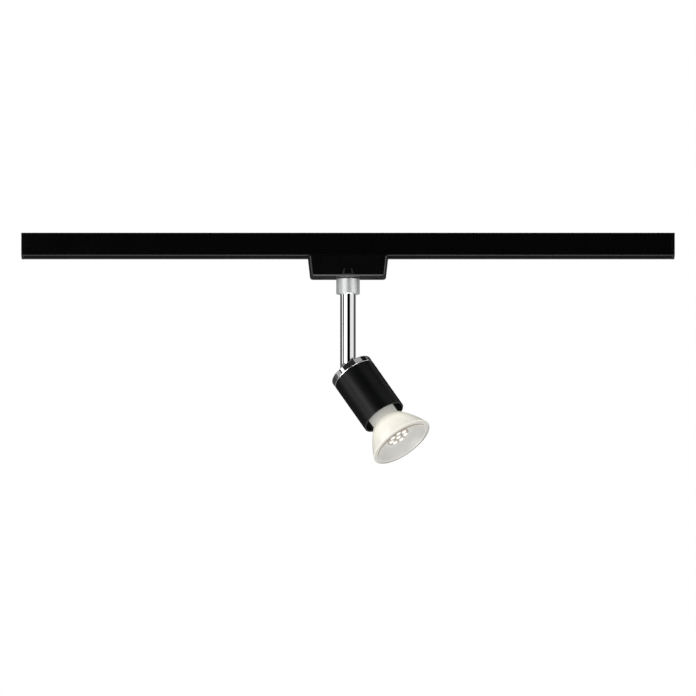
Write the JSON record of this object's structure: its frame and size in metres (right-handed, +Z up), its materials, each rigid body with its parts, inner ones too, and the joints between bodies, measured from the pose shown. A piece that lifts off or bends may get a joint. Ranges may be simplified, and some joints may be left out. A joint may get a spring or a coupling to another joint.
{
  "type": "track spotlight",
  "caption": "Ceiling track spotlight: a slotted surface rail, a tapered plug-in adapter, a straight stem, and a tilting sleeve with a flared reflector lamp.",
  "frame": {"origin": "centre of the rail's ceiling face", "axes": "+Z up into the ceiling, +X along the rail, -Y towards the side that the lamp is aimed at"},
  "size_m": [0.5, 0.0664, 0.1771],
  "materials": {
    "rail_black": "satin",
    "end_cap_black": "satin",
    "liner_grey": "matte",
    "copper": "satin",
    "adapter_black": "satin",
    "nylon_white": "satin",
    "spring_bronze": "satin",
    "zinc_steel": "satin",
    "brass": "satin",
    "satin_nickel": "satin",
    "chrome": "polished",
    "sleeve_black": "satin",
    "ceramic": "matte",
    "lamp_white": "satin",
    "dish_grey": "satin",
    "lens_clear": "gloss",
    "bare_aluminium": "satin",
    "board_green": "satin",
    "cable_black": "matte",
    "wire_brown": "satin",
    "wire_blue": "satin"
  },
  "bodies": {
    "rail": {"rail_profile": "rail_black", "end_cap_left": "end_cap_black", "end_cap_right": "end_cap_black", "insulator_front": "liner_grey", "insulator_back": "liner_grey", "conductor_live": "copper", "conductor_neutral": "copper"},
    "adapter": {"adapter_housing": "adapter_black", "contact_carrier": "nylon_white", "contact_live": "spring_bronze", "contact_neutral": "spring_bronze", "contact_earth": "spring_bronze", "carrier_screw_front": "zinc_steel", "carrier_screw_back": "zinc_steel", "terminal_block": "nylon_white", "adapter_wire_live": "wire_brown", "adapter_wire_neutral": "wire_blue", "swivel_neck": "zinc_steel", "neck_nut": "brass"},
    "lock_left": {"lock_spindle_left": "adapter_black", "lock_wing_left": "zinc_steel"},
    "lock_right": {"lock_spindle_right": "adapter_black", "lock_wing_right": "zinc_steel"},
    "collar": {"swivel_collar": "satin_nickel"},
    "stem": {"stem_tube": "chrome", "friction_washer": "nylon_white", "stem_cable": "cable_black", "tilt_pin": "zinc_steel"},
    "head": {"head_cap": "chrome", "lamp_sleeve": "sleeve_black", "holder_plate": "zinc_steel", "plate_screw_left": "zinc_steel", "plate_screw_right": "zinc_steel", "cable_grommet": "cable_black", "head_cable": "cable_black", "lampholder": "ceramic", "holder_contact_live": "spring_bronze", "holder_contact_neutral": "spring_bronze", "holder_screw_front": "zinc_steel", "holder_screw_back": "zinc_steel"},
    "lamp": {"lamp_base": "lamp_white", "lamp_pin_live": "brass", "lamp_pin_neutral": "brass", "lamp_shell": "lamp_white", "reflector_dish": "dish_grey", "lens_array": "lens_clear", "led_board": "nylon_white", "heat_sink": "bare_aluminium", "driver_board": "board_green"}
  },
  "joints": [
    {"name": "track_slide", "type": "slide", "parent": "rail", "child": "adapter", "axis": [1, 0, 0], "range_m": [-0.2, 0.2]},
    {"name": "lock_left_turn", "type": "hinge", "parent": "adapter", "child": "lock_left", "pos_m": [-0.022, 0, -0.0257], "axis": [0, 0, 1], "range_deg": [0, 90]},
    {"name": "lock_right_turn", "type": "hinge", "parent": "adapter", "child": "lock_right", "pos_m": [0.022, 0, -0.0257], "axis": [0, 0, 1], "range_deg": [0, 90]},
    {"name": "collar_turn", "type": "hinge", "parent": "adapter", "child": "collar", "pos_m": [0, 0, -0.0398], "axis": [0, 0, -1], "range_deg": [0, 90]},
    {"name": "stem_pan", "type": "hinge", "parent": "adapter", "child": "stem", "pos_m": [0, 0, -0.0421], "axis": [0, 0, 1], "range_deg": [-175, 175]},
    {"name": "head_tilt", "type": "hinge", "parent": "stem", "child": "head", "pos_m": [0, 0, -0.1009], "axis": [-0.518, -0.8554, 0], "range_deg": [-118.4, 41.6]},
    {"name": "lamp_twist", "type": "hinge", "parent": "head", "child": "lamp", "pos_m": [0, 0, -0.1009], "axis": [0.5313, -0.3218, -0.7837], "range_deg": [0, 45]}
  ]
}
